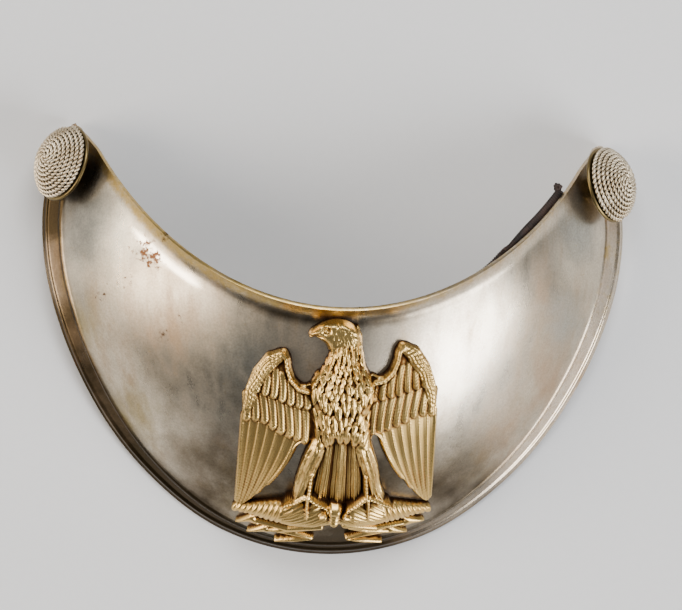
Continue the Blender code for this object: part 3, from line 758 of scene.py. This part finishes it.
def addFeather(relief, root, tip, half, rootHeight, tipHeight, bend, taper, tilt):
    # one feather: a rounded blade with a shaft and slanting barbs
    area = patch((root, tip), 2 * half + 1.5)
    t, across, length = alongBlade(area, root, tip, bend)
    width = half * (1 - taper * np.clip(t, 0, 1))
    pastTip = np.maximum(t * length - (length - width), 0) / width
    pastRoot = np.maximum(-t * length, 0) / half
    spread = (across / width) ** 2 + pastTip**2 + pastRoot**2
    body = (rootHeight + (tipHeight - rootHeight) * np.clip(t, 0, 1)) * crown(1 - spread, 0.32)
    shaft = 0.2 * bell(across, 0.18)
    lines = eagle["barbDepth"] * (0.5 + 0.5 * ripples((t * length - np.abs(across) * 1.3) / 0.74))
    blade = np.where(spread < 1, body + shaft + tilt * across / half - lines, body)
    relief[area] = np.maximum(relief[area], blade)


def addLock(relief, ground, root, tip, half, rise, bend=0.0, sink=0.3):
    # one pointed lock of feathers that lies on the ground under it and rises to its tip
    area = patch((root, tip), half + 1.0)
    t, across, length = alongBlade(area, root, tip, bend)
    width = half * np.clip(1.5 * (1.03 - t), 0.02, 1) ** 0.6 * np.clip(0.6 + 1.2 * t, 0, 1)
    q = across / width
    groove = 0.12 * ripples(across / 0.5)
    level = ground[area] - sink * (1 - t) + rise * t**1.3 + groove - 0.45 * q**2
    inside = (t > 0) & (t < 1.02) & (np.abs(q) < 1)
    relief[area] = np.where(inside, np.maximum(relief[area], level), relief[area])


def addWing(relief, side, random):
    def placed(point):
        return (side * point[0], point[1] + side * eagle["wingLift"])

    inside = insideDistance(roundedOutline([placed(p) for p in eagle["wingOutline"]]))
    base = eagle["wingBase"] * np.clip(inside / 0.25, -1, 1)
    base += np.where(inside > 0, eagle["wingRim"] * np.exp(-(((inside - 0.35) / 0.28) ** 2)), 0)
    lay(relief, base)
    for i, (root, tip) in enumerate(zip(eagle["longRoots"], eagle["longTips"])):
        share = i / 6
        half, bend = 1.36 - 0.12 * share, side * 0.06 * (1 - share)
        addFeather(relief, placed(root), placed(tip), half, 1.1, 1.45, bend, 0.5, 0.3 * side)
    rows = (("lower", 1.42, 1.15, 2.05, 0.02), ("upper", 1.34, 1.45, 2.45, 0.03))
    for row, half, rootHeight, tipHeight, bend in rows:
        for root, tip in zip(eagle[row + "Roots"], eagle[row + "Tips"]):
            end = placed((tip[0], tip[1] + random.uniform(-0.15, 0.15)))
            addFeather(relief, placed(root), end, half, rootHeight, tipHeight, side * bend, 0.12, 0.4 * side)
    path = [placed(p) for p in eagle["hump"]]
    hump, along, across, q = pathBody(path, eagle["humpHalf"], eagle["humpHeight"])
    grooves = 0.17 * ripples(across * 2.9 + 0.25 * np.sin(along)) + 0.08 * ripples(along * 0.9 + across)
    lay(relief, hump + np.where(q > 0, grooves * np.clip(q * 3, 0, 1), 0))
    path = [placed(p) for p in eagle["roll"]]
    roll, along, across, q = pathBody(path, [eagle["rollHalf"]] * 6, [eagle["rollHeight"]] * 6)
    beads = 0.28 * np.abs(np.cos(np.pi * along / 1.1)) * smoothStep((11.5 - along) / 3)
    lay(relief, roll + np.where(q > 0, beads, 0))


def addCoat(relief, ground, random):
    for middle, span, tipMiddle, tipSide, count, length, half, fan, rise in eagle["coat"]:
        for number in range(count):
            share = ((number + 0.5) * 2 / count - 1) + random.uniform(-0.06, 0.06)
            tipX = middle + span * share
            tipY = tipMiddle + (tipSide - tipMiddle) * abs(share) ** 1.2 + random.uniform(-0.35, 0.35)
            lean = fan * share + random.uniform(-0.10, 0.10)
            long = length * random.uniform(0.9, 1.15)
            root = (tipX - long * math.sin(lean), tipY + long * math.cos(lean))
            wide, high = half * random.uniform(1.0, 1.3), rise * random.uniform(0.8, 1.3)
            addLock(relief, ground, root, (tipX, tipY), wide, high, random.uniform(-0.06, 0.06))


def addTail(relief):
    outline = [(-5.4, -42.5), (-5.5, -52.0), (-5.2, -59.8), (7.0, -59.6), (7.2, -52.0), (6.6, -42.5)]
    lay(relief, pillow(outline, 1.1, 0.8))
    # fine barbs fan out down the tail, with two darker folds beside its middle
    down = np.clip((-45.0 - gridY) / 15.0, 0, 1)
    fan = (gridX - 0.7) / (4.6 + 1.8 * down)
    folds = 0.50 * ripples(fan * 1.35) + 0.16 * np.cos(2 * np.pi * fan * 4.3 + 0.6)
    barbs = 0.20 * np.cos(2 * np.pi * fan * 10.5 + 0.5 * np.sin(gridY))
    inside = insideDistance(roundedOutline(outline))
    lay(relief, np.where(inside > 0, 1.75 + (folds + barbs) * np.clip(inside / 0.5, 0, 1), -1))


def addLegs(relief, random):
    for side, (path, widths, shankTop, shankEnd) in eagle["legs"].items():
        ground = pathBody(path, widths, eagle["legHeight"])[0]
        lay(relief, ground - 0.55)
        path = np.asarray(path)
        for row in range(12):
            for column in (-0.75, -0.25, 0.25, 0.75):
                spot = 3 * (row + 0.5 * (column > 0)) / 12.5
                middle = np.array([np.interp(spot, range(4), path[:, axis]) for axis in (0, 1)])
                run = unit(path[min(int(spot) + 1, 3)] - path[int(spot)])
                width = np.interp(spot, range(4), widths)
                aside = np.array([-run[1], run[0]])
                root = middle + aside * width * column * random.uniform(0.85, 1.0)
                tip = root + run * 3.0 * random.uniform(0.85, 1.15) + aside * 0.35 * column
                addLock(relief, ground, tuple(root), tuple(tip), 0.72, 0.3, 0.0, 0.3)
        shank = limb(shankTop, shankEnd, 0.75, 0.9, 3.5, 4.1)
        lay(relief, shank + np.where(shank > 0, 0.16 * ripples(gridY / 0.85), 0))
        for toe in eagle["toes"][side]:
            half = np.linspace(0.8, 0.35, len(toe))
            body, along, across, q = pathBody(toe, half, np.linspace(4.3, 4.7, len(toe)))
            lay(relief, body + np.where(q > 0, 0.13 * ripples(along / 0.8), 0))


def addBolt(relief):
    # a twisted bolt, bound in the middle, with darts below it
    for path, widths in eagle["darts"]:
        lay(relief, pathBody(path, widths, [eagle["dartHeight"]] * len(path), 0.6)[0])
    for a, b in eagle["barbs"]:
        lay(relief, limb(a, b, 0.6, 0.2, 1.5, 1.2, 0.6))
    for side, path in eagle["bolts"].items():
        body, along, across, q = pathBody(path, eagle["boltHalf"], eagle["boltHeight"], 0.5)
        twisted = smoothStep((12.5 - along) / 1.5)
        strands = 0.6 * np.abs(np.sin(np.pi * (along / 1.35 - side * across * 0.7))) ** 0.7 - 0.35
        fine = 0.16 * ripples(across * 4.2 - side * along * 0.5)
        fine += 0.06 * ripples(across * 9 - side * along * 1.1)
        cut = (strands * twisted + fine * (1 - twisted)) * np.clip(q * 3, 0, 1)
        lay(relief, body + np.where(q > 0, cut, 0))
        lay(relief, limb((side * 2.4 + 0.3, -61.5), (side * 3.4 + 0.3, -61.7), 1.05, 0.8, 4.9, 4.6))
    binding = limb((0.2, -60.8), (0.2, -62.9), 1.85, 1.7, 5.0, 4.5, 0.3)
    lay(relief, binding + np.where(binding > 0, 0.30 * ripples(gridY), 0))
    lay(relief, limb((-0.4, -60.1), (0.8, -60.1), 1.5, 1.5, 5.2, 5.2))


def addHead(relief, random):
    head = pillow(eagle["headOutline"], 3.9, 2.8)
    mouth = limb((-8.4, -17.75), (-5.0, -18.0), 0.22, 0.18, 0.55, 0.5)
    head = head - np.maximum(mouth, 0)
    cere = limb((-5.6, -15.3), (-7.6, -16.6), 1.5, 0.9, 0.5, 0.2)
    brow = limb((-5.9, -15.0), (-2.2, -15.0), 0.5, 0.75, 0.55, 0.5)
    eyeAway = np.hypot(gridX + 4.35, gridY + 16.25)
    eye = 0.35 * bell(eyeAway, 0.42) - 0.5 * bell(eyeAway - 0.75, 0.28)
    crest = limb((-0.6, -14.9), (3.6, -16.9), 0.8, 0.6, 0.5, 0.45)
    head = head + np.where(head > 0, np.maximum(cere, 0) + np.maximum(brow,
        0) + eye + np.maximum(crest, 0), 0)
    lay(relief, head)
    for _ in range(60):
        root = (random.uniform(-3.4, 3.0), random.uniform(-18.6, -14.0))
        lean = 0.35 + 0.1 * root[0] + random.uniform(-0.15, 0.15)
        long = random.uniform(1.2, 1.9)
        tip = (root[0] + long * math.sin(lean), root[1] - long * math.cos(lean))
        addLock(relief, head, root, tip, 0.36, 0.14, 0.0, 0.1)


def eagleRelief():
    random = np.random.default_rng(eagle["seed"])
    relief = np.full(gridX.shape, -0.8)
    for side in (-1, 1):
        addWing(relief, side, random)
    addTail(relief)
    body = pillow(eagle["bodyOutline"], 4.2, 4.6)
    # each tier of the breast stands over the one below
    breast = smoothStep((gridY + 37.5 - 0.35 * np.abs(gridX)) / 3)
    body = body + np.where(body > 0, 0.5 * breast - 0.35 * smoothStep((-40.5 - gridY) / 2), 0)
    lay(relief, body - 0.8)
    addBolt(relief)
    addLegs(relief, random)
    addCoat(relief, np.maximum(body, 1.5), random)
    addHead(relief, random)
    return relief


def softened(values, reach):
    # a box blur, twice
    for _ in range(2):
        for axis in (0, 1):
            border = [(reach, reach) if axis == other else (0, 0) for other in (0, 1)]
            total = np.cumsum(np.pad(values, border, "edge"), axis)
            total = np.concatenate([np.zeros_like(total.take([0], axis)), total], axis)
            size, width = values.shape[axis], 2 * reach + 1
            values = (total.take(range(width, width + size), axis) - total.take(range(size), axis)) / width
    return values


def makeEagle():
    relief = np.clip(eagleRelief(), -0.35, 5.4)
    relief = 0.75 * relief + 0.25 * softened(relief, 1)
    shown = np.maximum(relief, 0)
    # painted shade and patina: the further a place lies below the relief round it, the darker it is painted
    hollow = (softened(shown, 3) - shown) * 1.9 + 0.7 * np.clip(softened(shown, 9) - shown, -0.2, 0.8)
    x, y = gridX + eagle["middle"], gridY
    points = domePoint(x, y) + domeNormal(x, y) * (relief + 0.15)[..., None]
    faces = gridFaces(*gridX.shape)
    solid = (relief > 0.0).ravel()
    kept = faces[solid[faces].any(1)][:, ::-1]
    used, index = np.unique(kept, return_inverse=True)
    marks = {"hollowMark": np.clip(hollow.ravel()[used], 0, 1.5)}
    corners = points.reshape(-1, 3)[used]
    makePiece("gilt_eagle", corners, index.reshape(-1, 4), gilt, ["eagle_badge"], marks)
    return len(kept) * 2


print("eagle ready,", makeEagle(), "triangles")

# Buttons: a turned core and rim, and a twisted cord wound over it
button = {
    "angle": 108.4,
    "reach": 71.2,
    "rimRadius": 10.0,
    "rimHeight": 1.0,
    "coreRadius": 9.0,
    "coreHeight": 4.8,
    "collarRadius": 3.2,
    "collarHeight": 2.8,
    "shankRadius": 1.7,
    "nutRadius": 5.0,
    "nutThickness": 1.6,
    "gap": 0.3,
    "cordWidth": 0.8,
    "cordPitch": 1.15,
    "plyOffset": 0.30,
    "plyRadius": 0.33,
    "twistPitch": 2.5,
    "plyStep": 0.17,
    "plySides": 6,
}


def standingAt(x, y):
    # a frame with its Z along the plate's normal
    point = domePoint(np.array(x), np.array(y))
    turned = Vector(domeNormal(np.array(x), np.array(y))).to_track_quat("Z", "Y").to_matrix()
    return point, np.array(turned)


def turnedGrid(profile, steps=64):
    profile = np.asarray(profile, float)
    turn = 2 * np.pi * np.arange(steps) / steps
    x = profile[:, :1] * np.cos(turn)
    y = profile[:, :1] * np.sin(turn)
    z = np.repeat(profile[:, 1:], steps, 1)
    return np.stack([x, y, z], -1), gridFaces(len(profile), steps, True)


def makeTurned(name, profile, place, finish, replaced, steps=64):
    point, turned = place
    grid, faces = turnedGrid(profile, steps)
    return makePiece(name, grid.reshape(-1, 3) @ turned.T + point, faces[:, ::-1], finish, replaced)


def buttonCap():
    # the core's dome: its radius, where it starts and where its centre is
    cap = (button["coreRadius"] ** 2 + button["coreHeight"] ** 2) / (2 * button["coreHeight"])
    coreBase = button["collarHeight"] + button["rimHeight"]
    return cap, coreBase, coreBase + button["coreHeight"] - cap


def onSphere(radius, lean, turn):
    flat = radius * np.sin(lean)
    return np.stack([flat * np.cos(turn), flat * np.sin(turn), radius * np.cos(lean)], -1)


def cordLine():
    cap, coreBase, centre = buttonCap()
    radius = cap + button["gap"] + button["cordWidth"] / 2
    lowest = math.acos((coreBase + button["cordWidth"] / 2 + button["gap"] - centre) / radius)
    rise = button["cordPitch"] / radius / (2 * np.pi)
    turns = np.linspace(0.35, lowest / rise, 40000)
    points = onSphere(radius, turns * rise, turns) + np.array([0, 0, centre])
    gone = np.concatenate([[0], np.cumsum(np.linalg.norm(np.diff(points, axis=0), axis=1))])
    stops = np.arange(0, gone[-1], button["plyStep"])
    line = np.stack([np.interp(stops, gone, points[:, axis]) for axis in range(3)], -1)
    return line, stops, np.array([0, 0, centre])


def makeCord(name, place, replaced):
    line, stops, centre = cordLine()
    along = unit(np.gradient(line, axis=0))
    outward = unit(line - centre)
    sideways = np.cross(along, outward)
    point, turned = place
    pieces, faces, deep = [], [], []
    for ply in range(2):
        phase = 2 * np.pi * stops / button["twistPitch"] + np.pi * ply
        wound = np.cos(phase)[:, None] * outward + np.sin(phase)[:, None] * sideways
        middle = line + button["plyOffset"] * wound
        run = unit(np.gradient(middle, axis=0))
        sideA = unit(np.cross(run, outward))
        sideB = np.cross(run, sideA)
        ring = 2 * np.pi * np.arange(button["plySides"]) / button["plySides"]
        hoop = np.cos(ring)[None, :, None] * sideA[:, None] + np.sin(ring)[None, :, None] * sideB[:, None]
        tube = middle[:, None] + button["plyRadius"] * hoop
        faces.append(gridFaces(len(line), button["plySides"], True) + ply * len(line) * button["plySides"])
        pieces.append(tube.reshape(-1, 3))
        # how deep each point lies under the cord's top, for the painted shade between the plies
        deep.append(0.35 - np.einsum("ijk,ik->ij", tube - line[:, None], outward).ravel())
    points = np.concatenate(pieces) @ turned.T + point
    marks = {"hollowMark": np.clip(np.concatenate(deep), 0, 1)}
    makePiece(name, points, np.concatenate(faces), thread, replaced, marks)


def makeButtons():
    cap, coreBase, centre = buttonCap()
    capAngle = math.asin(button["coreRadius"] / cap)
    leans = [capAngle * i / 12 for i in range(13)]
    dome = [(max(cap * math.sin(lean), 0.01), centre + cap * math.cos(lean)) for lean in leans]
    rim, low = button["rimRadius"] - 0.5, button["collarHeight"]
    collar, shank = button["collarRadius"], button["shankRadius"]
    turns = np.linspace(0, np.pi, 9)
    rimSoft = [(rim + 0.5 * math.sin(a), low + 0.5 + 0.5 * math.cos(a)) for a in turns]
    foot = [(collar, low), (collar - 0.4, 1.6), (collar, 0.75), (shank, 0.75), (shank, -2.0)]
    front = -(plate["sheet"] + 2 * button["gap"])
    back = front - button["nutThickness"]
    wide, soft = button["nutRadius"], 0.25
    face = [(shank + button["gap"], front), (wide - soft, front), (wide, front - soft)]
    nut = face + [(wide, back + soft), (wide - soft, back), (0.01, back)]
    for side, word in ((-1, "left"), (1, "right")):
        turn = math.radians(button["angle"])
        place = standingAt(side * button["reach"] * math.sin(turn), -button["reach"] * math.cos(turn))
        body = dome + rimSoft + foot
        makeTurned(f"{word}_button_base", body, place, brass, [f"{word}_button"])
        makeCord(f"{word}_twisted_cord", place, [f"{word}_button_cord"])
        makeTurned(f"{word}_flat_nut", nut, place, brass, [f"{word}_button_nut"])


makeButtons()
print("buttons ready")

pins = {
    "places": {"top": (2.0, -33.7), "left": (-10.25, -61.0125), "right": (14.25, -59.8625)},
    "radius": 0.8,
    "headRadius": 2.2,
    "headThickness": 0.8,
}


def makePins():
    front = -(plate["sheet"] + button["gap"])
    back = front - pins["headThickness"]
    head = pins["headRadius"]
    shank = [(0.01, -0.2), (pins["radius"], -0.2), (pins["radius"], front), (head - 0.15, front)]
    profile = shank + [(head, front - 0.2), (head, back + 0.3), (head - 0.4, back), (0.01, back)]
    for word, (x, y) in pins["places"].items():
        place = standingAt(x, y)
        makeTurned(f"rivet_{word}", profile, place, brass, [f"badge_pin_{word}"], 40)


makePins()
print("pins ready")

strip = {
    "start": 0.47,
    "end": 0.84,
    "pastRim": 1.35,
    "underRim": 4.2,
    "thickness": 1.2,
    "clear": 0.45,
    "flare": 0.25,
    "curlOut": 1.7,
    "curlRadius": 1.1,
    "stitchMm": 0.65,
    "stations": 420,
}


def intoPlate(share):
    angle = plate["neckSweep"] * share
    along = unit(neckPoint(angle + 0.5) - neckPoint(angle - 0.5))
    return np.stack([along[..., 1], -along[..., 0]], -1)


def rimPoint(share, distance):
    plan = neckPoint(plate["neckSweep"] * share) + intoPlate(share) * distance[..., None]
    point = domePoint(plan[..., 0], plan[..., 1])
    point[..., 2] += lipHeight(distance, share)
    return point


def stripPoint(share, distance):
    inside = np.maximum(distance, 0.0)
    across = rimPoint(share, inside + 0.2) - rimPoint(share, inside)
    along = rimPoint(share + 1e-3, inside) - rimPoint(share - 1e-3, inside)
    outward = unit(np.cross(across, along))
    free = np.minimum(distance, 0.0)
    behind = rimPoint(share, inside) - outward * (plate["sheet"] + strip["clear"])
    aside = [intoPlate(share) * free[..., None], -free[..., None] * strip["flare"]]
    return behind + np.concatenate(aside, -1)


def makeStrip():
    share = np.linspace(strip["start"], strip["end"], strip["stations"])
    steps = np.diff(neckPoint(plate["neckSweep"] * share), axis=0)
    arc = np.concatenate([[0], np.cumsum(np.linalg.norm(steps, axis=1))])
    # the strip starts hidden under the rim and comes out from it
    gone = (share - strip["start"]) / (strip["end"] - strip["start"])
    shown = strip["pastRim"] * (1.9 * smoothStep(1.6 * gone) - 0.9)
    scallop = 0.28 * np.abs(np.sin(np.pi * arc / strip["stitchMm"]))
    edge = -(shown + scallop - 0.15)
    columns = []
    for step in range(9):
        t = step / 8
        distance = edge + (strip["underRim"] - edge) * t**1.4
        point = stripPoint(share, distance)
        ripple = 0.10 * np.sin(2 * np.pi * arc / strip["stitchMm"]) * (distance < 0.2)
        point[:, 2] += ripple
        columns.append(point)
    points = np.stack(columns, 1)
    faces = gridFaces(*points.shape[:2])
    made = makePiece("leather_edge", points, faces, leather, ["lining_strip"])
    body = made.modifiers.new("Leather", "SOLIDIFY")
    body.thickness = strip["thickness"] * 0.001
    body.offset = -1.0


def makeCurl():
    # the strip's end, rolled up on itself
    middle = stripPoint(np.array([strip["end"]]), np.array([-strip["curlOut"]]))[0]
    turns = np.linspace(0, 2 * np.pi, 49)[:-1]
    across, around = np.meshgrid(np.linspace(0, np.pi, 25), turns, indexing="ij")
    lumps = 1 + 0.10 * np.sin(3 * around + 1.0) * np.sin(across) + 0.08 * np.sin(7 * around + 4 * across)
    ball = onSphere(strip["curlRadius"] * lumps, across, around)
    makePiece("leather_curl", ball + middle, gridFaces(25, 48, True)[:, ::-1], leather)


makeStrip()
makeCurl()
print("leather ready")

studio = {
    "floor": "#e0e0e0",
    "floorSize": 6.0,
    "world": "#8c8f93",
    "worldStrength": 0.68,
    # name, direction from the plate, distance, size, watts, colour
    "boxes": [
        ("right box", (0.74, -0.46, 0.46), 1.3, (0.75, 0.70), 23.0, "#fbfcff"),
        ("left box", (-0.88, -0.08, 0.42), 1.3, (0.70, 0.90), 19.0, "#fff3e4"),
        ("top box", (0.02, 0.62, 0.80), 1.5, (1.1, 0.5), 19.0, "#ffffff"),
    ],
}


def makeStudio():
    bpy.ops.mesh.primitive_plane_add(size=studio["floorSize"], location=(0, 0, 0))
    floor = bpy.context.object
    floor.name = "studio_floor"
    material, tree, shader, place = startMaterial("matt paper ground", 0.0, 0.9)
    pale = toLinear(studio["floor"])
    fleck = tuple(c * 0.96 for c in pale[:3]) + (1.0,)
    dress(tree, shader, tone=mixed(tree, noise(tree, place, 2.0, 4.0), pale, fleck))
    floor.data.materials.append(material)
    world = bpy.data.worlds.new("studio")
    world.use_nodes = True
    background = world.node_tree.nodes["Background"]
    background.inputs["Color"].default_value = toLinear(studio["world"])
    background.inputs["Strength"].default_value = studio["worldStrength"]
    bpy.context.scene.world = world
    target = Vector((0.0, 0.0, 0.02))
    for name, direction, distance, size, power, colour in studio["boxes"]:
        light = bpy.data.lights.new(name, "AREA")
        light.shape = "RECTANGLE"
        light.size, light.size_y = size
        light.energy = power
        light.color = toLinear(colour)[:3]
        holder = bpy.data.objects.new(name, light)
        bpy.context.scene.collection.objects.link(holder)
        holder.location = target + Vector(direction).normalized() * distance
        holder.rotation_euler = (holder.location - target).to_track_quat("Z", "Y").to_euler()


view = {
    "height": 0.950,  # metres above the ground
    "lens": 192.57,  # millimetres on a 36 mm sensor
    "aim": (0.00286, 0.01030),
    "turn": 2.2,  # the object lies turned clockwise in the picture, degrees
    "tilt": 2.5,  # the camera stands a little to the left
}


def makeCamera():
    turn, tilt = math.radians(view["turn"]), math.radians(view["tilt"])
    right = Vector((math.cos(turn), math.sin(turn), 0))
    up = Vector((-math.sin(turn), math.cos(turn), 0))
    back = (Vector((0, 0, 1)) * math.cos(tilt) - right * math.sin(tilt)).normalized()
    side = up.cross(back).normalized()
    aim = Vector((*view["aim"], 0))
    camera = bpy.data.objects.new("camera", bpy.data.cameras.new("camera"))
    camera.data.lens = view["lens"]
    camera.data.sensor_width = 36.0
    camera.data.clip_start, camera.data.clip_end = 0.05, 20.0
    facing = Matrix((side, up, back)).transposed().to_4x4()
    camera.matrix_world = Matrix.Translation(aim + back * view["height"]) @ facing
    bpy.context.scene.collection.objects.link(camera)
    bpy.context.scene.camera = camera


makeStudio()
makeCamera()
print("studio ready")

bpy.context.view_layer.update()
